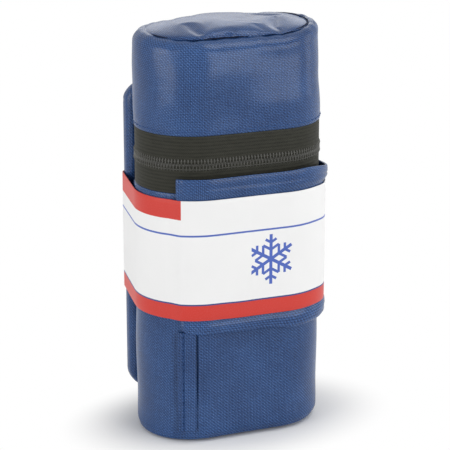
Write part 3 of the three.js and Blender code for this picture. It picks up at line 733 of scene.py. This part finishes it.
def make_floor():
    """White floor that keeps the shadow near the case and fades to plain white away from it."""
    corners = [(x * FLOOR_HALF, y * FLOOR_HALF, 0) for x, y in ((-1, -1), (1, -1), (1, 1), (-1, 1))]
    mesh = bpy.data.meshes.new("floor")
    mesh.from_pydata(corners, [], [(0, 1, 2, 3)])
    floor = add_object("floor", mesh)
    material = bpy.data.materials.new("white_floor")
    tree = empty_tree(material)
    matte = add_node(tree, "ShaderNodeBsdfDiffuse", {"Color": rgb(0.9, 0.9, 0.9)})
    white = add_node(tree, "ShaderNodeEmission")
    place = add_node(tree, "ShaderNodeNewGeometry").outputs["Position"]
    squeezed = add_node(tree, "ShaderNodeVectorMath", {0: place, 1: FLOOR_SQUEEZE}, operation="MULTIPLY")
    reach = add_node(tree, "ShaderNodeVectorMath", {0: squeezed.outputs[0]}, operation="LENGTH")
    fade = add_node(tree, "ShaderNodeMapRange", {"Value": reach.outputs["Value"], **FLOOR_FADE},
                    interpolation_type="SMOOTHSTEP")
    share = add_node(tree, "ShaderNodeMath", {0: seen_rays(tree), 1: fade.outputs[0]}, operation="MULTIPLY")
    show_mix(tree, share.outputs[0], matte, white, "ShaderNodeOutputMaterial")
    mesh.materials.append(material)


def make_lamp(name, azimuth, elevation, distance, width, height, power):
    data = bpy.data.lights.new(name, "AREA")
    data.shape = "RECTANGLE"
    data.size, data.size_y = width, height
    data.energy = power
    aimed(data, LAMP_TARGET, azimuth, elevation, distance)


make_camera()
make_world()
make_floor()
for lamp, setting in LAMPS.items():
    make_lamp(lamp, *setting)
bpy.context.scene.view_settings.view_transform = "Standard"


# Body: woven cover with a rounded foot, base panel, zipper tape and hinge cloth

def body_swell(s, z):
    soft = 0.28 * ripples(s, z, seed=11) * ease(z, 4, 20) * fall(z, 100, 111)
    along = from_front(s)
    corner = 1.1 * near(z, 2.2, 1.5) * ease(z, 0.75, 1.6) * near(along, -45, 22)
    base_seam = -0.35 * near(z, 3.0, 0.4)
    left, right = SEAM_SPAN
    crease = 0.5 * ease(z, 12, 46) * near(along, right + 0.3, 0.3)
    crease = crease - 0.45 * near(along, right + 1.2, 0.55) + 0.12 * near(along, left - 0.4, 0.6)
    crease = crease * ease(z, 4, 7) * fall(z, POCKET_LOW - 1, POCKET_LOW + 1)
    return soft + corner + base_seam - crease


foot = corner_arc((-EDGE_RADIUS, EDGE_RADIUS + FOOT_LOW), EDGE_RADIUS + COVER_MIDDLE, -90, 0)
wall = resample([(COVER_MIDDLE, EDGE_RADIUS + FOOT_LOW), (COVER_MIDDLE, BODY_TOP)], 1.5)
seam_places = np.arange(SEAM_SPAN[0] - 3, SEAM_SPAN[1] + 4, 0.25)
other_places = np.linspace(seam_places[-1], seam_places[0] + PERIMETER, 165)[1:-1]
body_cover = shell("body_cover_cloth", [*resample(foot, 0.3), *wall[1:]], COVER_CLOTH, swell=body_swell,
                   spacing=np.concatenate((seam_places, other_places)), pitch=None)
dress(body_cover, BLUE, "case_body", "blue_nylon", "body_cover")

base_line = [(-5.8, 1.2), (-6.4, 0.75), (-9.0, 0.7), (CENTRE, 0.9)]
base_panel = shell("base_panel_cloth", softened(base_line, 3), thickness=0.9, pitch=0.8)
lay_flat(base_panel)
dress(base_panel, BLUE, "case_body", "blue_nylon", "base_panel")


def zipper_tape(name, side, node, body):
    low, high = ZIP + side * 0.7, ZIP + side * TAPE_WIDTH
    tape = shell(name, [(TAPE_MIDDLE, low), (TAPE_MIDDLE, high)], TAPE_CLOTH,
                 span=(-TAPE_REACH, TAPE_REACH),
                 swell=lambda s, z: 0.07 * ripples(s, z, seed=23 + side, waves=(6, 20)))
    dress(tape, TAPE, body, "zipper_tape", node)


zipper_tape("zipper_tape_lower_cloth", -1, "zipper_tape_lower", "case_body")
zipper_tape("zipper_tape_upper_cloth", 1, "zipper_tape_upper", "lid")

hinge_line = [(TAPE_MIDDLE, ZIP - TAPE_WIDTH), (TAPE_MIDDLE, ZIP + TAPE_WIDTH)]
hinge = shell("hinge_strip_cloth", hinge_line, TAPE_CLOTH,
              span=(TAPE_REACH + 0.3, PERIMETER - TAPE_REACH - 0.3), pitch=0.6)
dress(hinge, BLUE, None, "blue_nylon", "hinge_strip")
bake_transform(hinge)


# Zipper chain: coil loops that mesh across the line, with their sewing on each side

LOOP_PITCH = 1.4


def zipper_chain(name, side, node, body):
    """side is where the loops are sewn: 1 to the upper tape, -1 to the lower."""
    s = np.arange(-CHAIN_REACH, CHAIN_REACH, LOOP_PITCH) + (LOOP_PITCH / 2 if side > 0 else 0)
    loops = upright(s, np.full(len(s), ZIP + side * 0.95), -0.22)
    chain = beads(name, *loops, length=3.3, wide=0.64, high=0.6, bow=0.1)
    dress(chain, COIL, body, "zipper_nylon", node)


zipper_chain("zipper_coil_lower_loops", -1, "zipper_coil_lower", "case_body")
zipper_chain("zipper_coil_upper_loops", 1, "zipper_coil_upper", "lid")

for level, name, body in ((-1.7, "zipper_sewing_lower", "case_body"), (1.7, "zipper_sewing_upper", "lid")):
    row = outline_row(-CHAIN_REACH, CHAIN_REACH, LOOP_PITCH, 0.09, ZIP + level)
    sewing = beads(name, *row, length=1.0, wide=0.3, high=0.3, bow=0.08)
    dress(sewing, GREY_THREAD, body, "zipper_tape")


# Lid: cover with a rolled top edge, and a puffed panel sewn in below it

def lid_swell(s, z):
    soft = 0.45 * ripples(s, z, seed=37, waves=(2, 7))
    soft = soft * ease(z, 137, 150) * fall(z, 166, 175)
    crown = 0.5 * ease(z, 136, 150) * fall(z, 160, 174)
    pucker = 0.13 * near(z, 174, 4) * ripples(s, z, seed=41, waves=(10, 34), rise=(0.0, 0.01))
    return soft + crown + pucker + lid_lean(case_plan(s)[1], z)


def lid_lean(normal, z):
    """The lid's right end leans in above the zipper and its foam is squeezed there."""
    right = facings(normal)[3]
    return -1.6 * right * ease(z, 137, 158) * fall(z, 170, 176)


def rim_lift(normal):
    """How far the foam pushes the lid's rim up, most of all at its right end and at the back."""
    front, back, left, right = facings(normal)
    return 0.4 + 0.9 * normal[..., 0] ** 2 + 1.2 * back + 1.9 * right - (0.4 + left) * front


def lid_slide(s, z):
    return rim_lift(case_plan(s)[1]) * ease(z, 160, 174)


rim = corner_arc((-EDGE_RADIUS, TOP_SEAM - EDGE_RADIUS), EDGE_RADIUS + COVER_MIDDLE, 0, 90)
roll = corner_arc((-EDGE_RADIUS, TOP_SEAM - 1.1), 0.6, 90, 180, 6)
lid_line = [(COVER_MIDDLE, LID_LOW), *rim, *roll, (-5.6, 172.6)]
lid_cover = shell("lid_cover_cloth", lid_line, COVER_CLOTH, swell=lid_swell, slide=lid_slide, pitch=1.0)
dress(lid_cover, BLUE, "lid", "blue_nylon", "lid_cover")

TOP_EDGE = -6.6
# The panel's edge: depth inside the seam, how far it bulges out from there and its share of the full height
TOP_BULGE = np.array((
    (0, 0, 0), (0.4, 0.1, 0.17), (0.8, 0.6, 0.37), (1.2, 1.8, 0.52), (1.6, 2.45, 0.655), (2.1, 2.55, 0.81),
    (2.8, 2.3, 0.92), (4.0, 1.4, 0.98), (6.0, 0.4, 1.0), (9.0, 0, 1.0),
))
EDGE_RINGS = 8
SIM_SCALE = 20.0
CLOTH = {
    "quality": 8, "mass": 0.4, "tension_stiffness": 25, "compression_stiffness": 25, "shear_stiffness": 10,
    "bending_stiffness": 1.2, "air_damping": 6, "vertex_group_mass": "pins", "use_pressure": True,
}


def lid_top_mesh():
    """Flat panel inside the top seam, with rings along its edge, and each point's depth."""
    around, step, inset = 170, 1.25, 4.9
    point, normal = case_plan(np.linspace(0, PERIMETER, around, endpoint=False))
    edge = np.concatenate([point + normal * (TOP_EDGE - depth) for depth in TOP_BULGE[:EDGE_RINGS, 0]])
    grid = []
    for row, y in enumerate(np.arange(-END_RADIUS, END_RADIUS, step * 0.866)):
        for x in np.arange(-45, 45, step) + (step / 2 if row % 2 else 0):
            outside = math.hypot(max(abs(x) - END_CENTRE, 0), y)
            if outside < END_RADIUS + TOP_EDGE - inset:
                grid.append((x, y))
    points = [Vector(p) for p in [*edge.tolist(), *grid]]
    borders = [(k, (k + 1) % around) for k in range(around)]
    made = delaunay_2d_cdt(points, borders, [], 1, 1e-6)
    flat = np.array([tuple(p) for p in made[0]])
    depth = END_RADIUS + TOP_EDGE - from_core(flat)[1]
    return flat, [list(face) for face in made[2]], depth


def settle(obj, pins, pressure, spare, frames):
    """Lets pinned cloth swell, with a share of spare cloth, and keeps the shape it settles to."""
    group = obj.vertex_groups.new(name="pins")
    group.add([int(k) for k in pins], 1.0, "REPLACE")
    obj.data.transform(Matrix.Scale(SIM_SCALE, 4))
    cloth = obj.modifiers.new("settle", "CLOTH")
    for key, value in CLOTH.items():
        setattr(cloth.settings, key, value)
    cloth.settings.uniform_pressure_force = pressure
    cloth.settings.shrink_min = -spare
    cloth.settings.effector_weights.gravity = 0
    cloth.point_cache.frame_start = 1
    cloth.point_cache.frame_end = frames
    scene = bpy.context.scene
    for step in range(1, frames + 1):
        scene.frame_set(step)
    places = vertex_places(obj.evaluated_get(bpy.context.evaluated_depsgraph_get()).data)
    obj.modifiers.remove(cloth)
    obj.vertex_groups.remove(group)
    obj.data.vertices.foreach_set("co", places.ravel())
    obj.data.transform(Matrix.Scale(1 / SIM_SCALE, 4))
    obj.data.update()
    scene.frame_set(1)


def lid_top_panel():
    flat, faces, depth = lid_top_mesh()
    way, reach = from_core(flat)
    outward = way / reach[:, None]
    toward = way / (END_RADIUS + TOP_EDGE)
    raised = rim_lift(toward)
    _, back, left, right = facings(toward)
    puff = 4.9 - 0.8 * raised - 0.9 * left + 0.6 * right + 0.5 * back
    share = np.interp(depth, TOP_BULGE[:, 0], TOP_BULGE[:, 2])
    z = TOP_SEAM - 2.4 + raised + puff * share + 0.5 * ease(depth, 0, 14)
    further = 1 + 0.7 * np.maximum(left - 0.5, 0) + 0.35 * back
    bulge = np.interp(depth, TOP_BULGE[:, 0], TOP_BULGE[:, 1]) * further
    points = np.column_stack((flat + outward * bulge[:, None], z))
    section = np.column_stack((TOP_BULGE[:, 1] - TOP_BULGE[:, 0], 4 * TOP_BULGE[:, 2]))
    extra = distances(section) - TOP_BULGE[:, 0]
    spread = np.interp(depth, TOP_BULGE[:, 0], extra[-1] - extra)
    weave = flat + outward * spread[:, None]
    panel = make_object("lid_top_cloth", points, faces, weave[np.concatenate(faces)])
    settle(panel, np.nonzero(depth < 0.02)[0], pressure=0.25, spare=0.03, frames=20)
    solid = panel.modifiers.new("thickness", "SOLIDIFY")
    solid.thickness = 0.9 * MM
    solid.offset = -1.0
    smooth = panel.modifiers.new("smooth", "SUBSURF")
    smooth.levels = smooth.render_levels = 1
    return panel


lid_top = lid_top_panel()
dress(lid_top, BLUE, "lid", "blue_nylon", "lid_top_panel")


# Front pocket with puffed hems above and below the sleeve, and the seam strip that runs down from it

def pocket_swell(s, z):
    hem = ease(z, 110.5, 114) + 1 - ease(z, 51.5, 56.5)
    loose = 0.3 * ripples(s, z, seed=53, waves=(3, 9), rise=(0.0, 0.01)) * hem
    bulge = RIGHT_BULGE * facings(case_plan(s)[1])[3]
    seam = -0.35 * near(z, TOP_HEM_SEAM, 0.7) - 0.3 * near(z, LOW_HEM_SEAM, 0.6)
    left, right = POCKET_SPAN
    sewn = 1 - ease(s, left - 0.6, left + 1.6) * fall(s, right - 6, right)
    turned = -0.35 * near(s, left + 1.9, 0.45) * ease(z, 109, 112)
    return (loose + bulge + seam) * (1 - sewn) - sewn * hem + turned


def pocket_slide(s, z):
    """Rounds the low hem's left corner, lets it hang unevenly and the top hem sag towards the right end."""
    low = fall(z, POCKET_LOW, POCKET_LOW + 5)
    corner = 1.6 * low * fall(s, POCKET_SPAN[0] - 1, POCKET_SPAN[0] + 4) ** 2
    sag = -0.65 * fall(s, 8, 30) - 5.2 * ease(s, 22, 56)
    hang = 0.15 * ripples(s, 0, seed=61, waves=(3, 12))
    hang = hang - 1.1 * ease(s, -30, -20) - 1.1 * ease(s, -4, 22)
    return corner + hang * low + sag * ease(z, 108, 118)


def pocket_drift(s, z):
    """The left edge leans out towards the top hem."""
    left = POCKET_SPAN[0]
    return -1.85 * ease(z, 96, 112) * fall(s, left + 1, left + 22)


pocket_line = softened([
    (1.0, POCKET_LOW + 0.3), (2.4, POCKET_LOW + 0.5), (2.5, POCKET_LOW + 3.2), (0.95, SLEEVE_LOW - 0.5),
    (0.9, SLEEVE_LOW + 3), (0.9, SLEEVE_TOP - 3), (0.95, SLEEVE_TOP - 0.6), (2.3, SLEEVE_TOP + 3.0),
    (2.45, POCKET_TOP - 3.0), (2.3, POCKET_TOP - 0.6),
], 6)
pocket = shell("front_pocket_cloth", pocket_line, thickness=1.1, span=POCKET_SPAN, swell=pocket_swell,
               slide=pocket_slide, drift=pocket_drift, spacing=0.6, pitch=0.8)
dress(pocket, BLUE, "case_body", "blue_nylon", "front_pocket")


def seam_swell(s, z):
    left, right = SEAM_SPAN
    ridges = sum(near(s, left + step, 0.35) for step in (0.5, 1.9))
    groove = -0.35 * near(s, left + 2.7, 0.25)
    band = 0.35 * ease(s, left + 2.9, left + 3.3)
    fold = (0.5 * ease(z, 14, 46) - 0.25) * ease(s, right - 2.0, right - 0.5)
    return 0.4 * ridges + groove + band + fold + 0.06 * ripples(s, z, seed=59)


seam_strip = shell("front_seam_strip_cloth", [(0.65, 5.9), (0.65, POCKET_LOW - 0.6)], thickness=0.7,
                   span=SEAM_SPAN, swell=seam_swell, spacing=0.22)
dress(seam_strip, BLUE, "case_body", "blue_nylon", "front_seam_strip")


# Rear pocket: a flat pouch with an open mouth, reaching past the line where the lid turns

def rear_ring(half_width, depth, inset, z):
    """One level of the pouch, seen from above, bulging where the sleeve doesn't hold it."""
    low, high = REAR_FRONT + inset, REAR_FRONT + depth - inset
    half_width = half_width - inset
    radius = min(3.2 - inset, (high - low) / 2 - 0.05)
    points = []
    corners = ((half_width, low), (half_width, high), (-half_width, high), (-half_width, low))
    for k, (x, y) in enumerate(corners):
        centre = (x - math.copysign(radius, x), y + (radius if y == low else -radius))
        arc, _ = plan_arc(centre, radius, math.pi / 2 * (k - 1), math.pi / 2 * k, 7)
        points.extend(arc.tolist())
        if k in (1, 3):
            start, level = arc[-1]
            points.extend([(start * (1 - 2 * t), level) for t in np.linspace(0, 1, 26)[1:-1]])
    points = np.array(points)
    outer = ease(points[:, 1], REAR_FRONT + depth * 0.5, REAR_FRONT + depth)
    free = 1 - ease(z, 46, 56) * fall(z, 111, 120)
    dome = np.clip(1 - (points[:, 0] / half_width) ** 2, 0, 1)
    sag = 0.9 * dome * free * ease(z, 12, 30) * (1 - 0.7 * near(z, ZIP, 6))
    loose = 0.25 * np.sin(points[:, 0] * 0.21 + z * 0.13) * free * dome
    points[:, 1] += outer * (sag + loose)
    return points


def rear_depth(z):
    full = REAR_BACK - REAR_FRONT
    return full - 4.6 * fall(z, REAR_LOW, REAR_LOW + 6) - 1.2 * ease(z, 140, REAR_TOP)


def rear_pocket():
    """The pouch from its low corners up to the mouth, finer where it bends, and back down inside."""
    inner = REAR_HALF - REAR_CORNER
    low_corner = corner_arc((inner, REAR_LOW + REAR_CORNER), REAR_CORNER, -86, 0, 14)
    side = [(REAR_HALF, z) for z in (*np.arange(20, 108, 4.0), *np.arange(108, 139, 1.0))]
    top_corner = corner_arc((inner, REAR_TOP - REAR_CORNER), REAR_CORNER, 0, 84, 12)
    levels = [*low_corner, *side, *top_corner]
    rings, v = [], []
    for half_width, z in levels:
        binding = 0.35 * ease(z, 142.5, 143.2)
        ring = rear_ring(half_width + binding, rear_depth(z) + binding, 0, z)
        rings.append(np.column_stack((ring, np.full(len(ring), z))))
        v.append(z)
    for half_width, z in reversed(levels):
        ring = rear_ring(half_width, rear_depth(z), REAR_CLOTH, z)
        level = max(z, REAR_LOW + REAR_CLOTH)
        rings.append(np.column_stack((ring, np.full(len(ring), level))))
        v.append(2 * REAR_TOP - z)
    points = np.array(rings)
    steps = np.linalg.norm(np.diff(points[20][:, :2], axis=0), axis=1)
    across = np.concatenate(([0], np.cumsum(steps), [steps.sum() + 1.0]))
    return grid_mesh("rear_pocket_cloth", points, np.array(v, float), across, False)


rear = rear_pocket()
dress(rear, BLUE, None, "blue_nylon", "rear_pocket_body", "rear_pocket_fold", "rear_pocket_top")
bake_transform(rear)


# Paper sleeve

def sleeve_slide(s, z):
    """The sleeve has slipped a little, most of all at its right end and along its low edge."""
    along = from_front(s, SLEEVE_LENGTH)
    low_edge = 0.35 * ease(along, -16, -4) * fall(z, 60, 80)
    right_end = 0.9 * ease(along, 30, 46)
    return -0.45 - (low_edge + right_end) * fall(along, 60, 105)


sleeve = shell("label_sleeve_paper", [(0, SLEEVE_LOW + 0.25), (0, SLEEVE_TOP - 0.25)], thickness=0.45,
               plan=sleeve_outline, around=SLEEVE_LENGTH, spacing=1.0, pitch=2.0, turns=3,
               slide=sleeve_slide, swell=lambda s, z: 0.06 * ripples(s, z, seed=71, waves=(2, 6)))
dress(sleeve, PAPER, "case_body", "printed_paper", "label_sleeve")


# Linings with a rim rolled over the foam, foam walls and the vial tray

def lining(name, points, node, body):
    film = shell(name, softened(points, 8), thickness=0.7, pitch=1.2, spacing=2.0,
                 swell=lambda s, z: 0.12 * ripples(s, z, seed=83, waves=(4, 14)))
    dress(film, FILM, body, "lining_film", node)


bowl = [(CENTRE, 8.85), (-9.8, 8.85), (-8.5, 11.5), (-8.5, 121.5), (-7.2, 123.3), (-1.5, 123.3)]
dome = [(-1.5, 124.7), (-7.2, 124.7), (-8.5, 126.5), (-8.5, 167.5), (-9.8, 169.8), (CENTRE, 169.8)]
lining("body_lining_film", bowl, "body_lining", "case_body")
lining("lid_lining_film", dome, "lid_lining", "lid")


def foam_piece(name, node, body, voxel, squeeze=None):
    """A soft copy of a foam solid. squeeze pushes its outside in, at each normal and height."""
    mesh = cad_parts[node].data.copy()
    mesh.name = name
    obj = add_object(name, mesh)
    remesh = obj.modifiers.new("remesh", "REMESH")
    remesh.mode = "VOXEL"
    remesh.voxel_size = voxel * MM
    remesh.use_smooth_shade = True
    smooth = obj.modifiers.new("smooth", "SMOOTH")
    smooth.factor = 0.5
    smooth.iterations = 4
    settled = bpy.data.meshes.new_from_object(obj.evaluated_get(bpy.context.evaluated_depsgraph_get()))
    obj.modifiers.clear()
    obj.data = settled
    if squeeze is not None:
        places = vertex_places(settled) / MM
        way, reach = from_core(places)
        normal = way / reach[:, None]
        share = ease(reach, END_RADIUS - 8, END_RADIUS - 2)
        places[:, :2] += normal * (squeeze(normal, places[:, 2]) * share)[:, None]
        settled.vertices.foreach_set("co", (places * MM).ravel())
        settled.update()
    dress(obj, FOAM, body, "foam", node)


foam_piece("vial_tray_foam", "vial_tray", "case_body", voxel=0.9)
foam_piece("body_insulation_foam", "body_insulation", "case_body", voxel=2.0)
foam_piece("base_insulation_foam", "base_insulation", "case_body", voxel=1.6)
foam_piece("lid_insulation_foam", "lid_insulation", "lid", voxel=2.0, squeeze=lid_lean)
foam_piece("lid_top_foam", "lid_top_insulation", "lid", voxel=1.6)


# Stitching, and near-black beads that paint shade along the lid's top seam

STITCH = {"length": 2.1, "wide": 0.42, "high": 0.42, "bow": 0.16}
STITCH_PITCH = 3.0


def stitching(name, rows, body):
    rods = (np.concatenate(part) for part in zip(*rows))
    dress(beads(name, *rods, **STITCH), BLUE_THREAD, body, "blue_nylon")


def hem_row(z, offset):
    left, right = POCKET_SPAN
    return outline_row(left + 3, right - 6, STITCH_PITCH,
                       lambda s: offset + pocket_swell(s, z), lambda s: z + pocket_slide(s, z))


def lid_face(s):
    return lid_swell(s, LID_STITCH) + 0.02


def top_seam_inset(s):
    front, _, left, _ = facings(case_plan(s)[1])
    return -5.95 + 0.35 * front ** 0.5 + left ** 4


def top_seam_level(s):
    """Height of the near-black beads that paint shade into the top seam: it lies open along the front and
    sinks in at the right end and, deeper, at the left back.
    """
    normal = case_plan(s)[1]
    front, _, left, right = facings(normal)
    sunk = 0.6 * right ** 4 + 1.8 * left * ease(normal[:, 1], -0.35, 0.1)
    return TOP_SEAM + rim_lift(normal) + 0.3 * front ** 0.5 - sunk


strip_levels = np.arange(6.5, POCKET_LOW - 1, STITCH_PITCH) + STITCH_PITCH / 2
body_rows = [
    outline_row(-PERIMETER / 2, POCKET_SPAN[0], STITCH_PITCH, -0.05, BODY_STITCH),
    outline_row(POCKET_SPAN[1], PERIMETER / 2, STITCH_PITCH, -0.05, BODY_STITCH),
    hem_row(TOP_HEM_SEAM, 2.62),
    hem_row(LOW_HEM_SEAM, 2.4),
    upright(np.full(len(strip_levels), SEAM_SPAN[0] + 2.65), strip_levels, 0.7),
]
stitching("body_stitching", body_rows, "case_body")
lid_rows = [outline_row(-PERIMETER / 2, PERIMETER / 2, STITCH_PITCH, lid_face, LID_STITCH)]
stitching("lid_stitching", lid_rows, "lid")
# A row of near-black beads laid in the lid's top seam paints the shade of its groove.
top_row = outline_row(-PERIMETER / 2, PERIMETER / 2, 2.4, top_seam_inset, top_seam_level)
top_seam = beads("lid_top_seam", *top_row, length=2.6, wide=0.65, high=0.6)
dress(top_seam, PAINTED_SEAM_SHADE, "lid", "blue_nylon")


# Rigid pieces that keep their solids

for material, nodes in (
    (ZINC, ("zipper_slider", "zipper_pull", "zipper_stop_left", "zipper_stop_right")),
    (pack_plastic(), ("cold_pack_shell", "cold_pack_plug")),
    (pack_gel(), ("cold_pack_gel",)),
):
    for node in nodes:
        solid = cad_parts[node]
        solid.data.materials.clear()
        solid.data.materials.append(material)
        if material == ZINC:
            edge = solid.modifiers.new("edges", "BEVEL")
            edge.width = 0.2 * MM
            edge.segments = 2
            edge.limit_method = "ANGLE"
            edge.angle_limit = math.radians(35)
